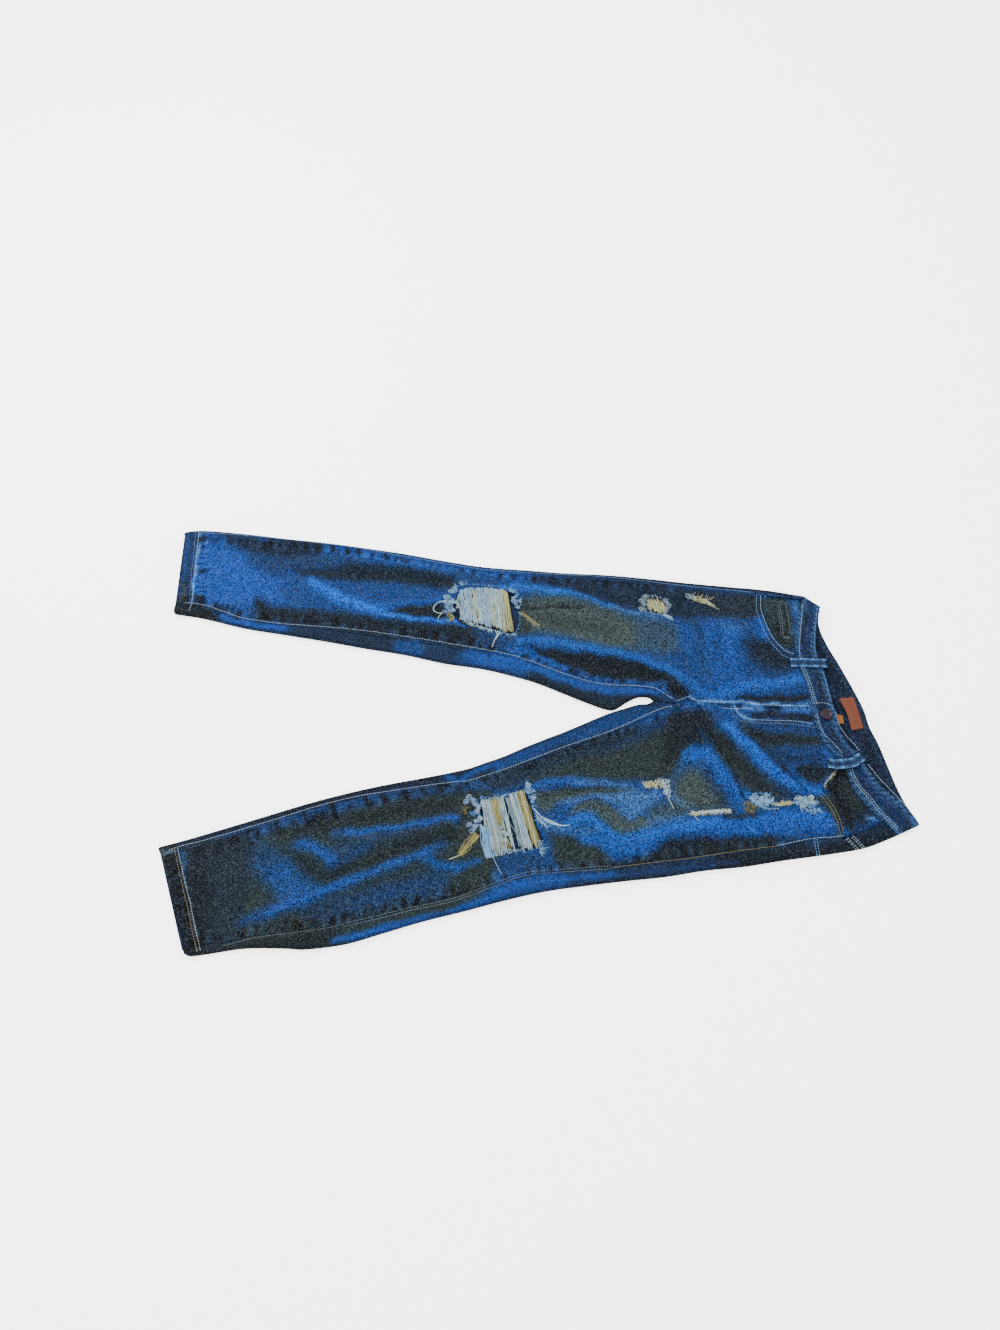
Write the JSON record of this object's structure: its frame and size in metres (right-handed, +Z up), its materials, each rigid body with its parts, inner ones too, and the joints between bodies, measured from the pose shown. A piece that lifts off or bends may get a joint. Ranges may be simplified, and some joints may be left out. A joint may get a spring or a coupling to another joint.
{
  "type": "ripped jeans",
  "caption": "Skinny ripped jeans laid flat on their back, cloth panels with walls, torn knees bridged by bare threads, pockets, belt loops and a waist button.",
  "frame": {"origin": "middle of the laid-out garment's outline, on the surface that it lies on", "axes": "+X from the hems to the waist, +Y towards the wearer's right leg, +Z up from the surface; the fronts face up"},
  "size_m": [0.991, 0.6057, 0.018],
  "materials": {
    "denim": "washed indigo twill, faded and dirty",
    "denim_dark": "darker unfaded twill",
    "weft_thread": "bare white and cream weft threads",
    "leatherette": "matt tan patch, bare",
    "tab_tape": "woven orange tape, bare",
    "aged_copper": "dark aged copper"
  },
  "bodies": {
    "root": {"front_right": "denim", "front_left": "denim", "back_right": "denim_dark", "back_left": "denim_dark", "yoke_right": "denim_dark", "yoke_left": "denim_dark", "waistband": "denim_dark", "pocket_facing_right": "denim", "pocket_facing_left": "denim", "coin_pocket": "denim", "back_pocket_right": "denim_dark", "back_pocket_left": "denim_dark", "belt_loop_front_right": "denim", "belt_loop_front_left": "denim", "belt_loop_back_right": "denim_dark", "belt_loop_back_centre": "denim_dark", "belt_loop_back_left": "denim_dark", "knee_threads_right": "weft_thread", "knee_threads_left": "weft_thread", "button": "aged_copper", "label": "leatherette", "size_tab": "tab_tape"}
  },
  "joints": []
}
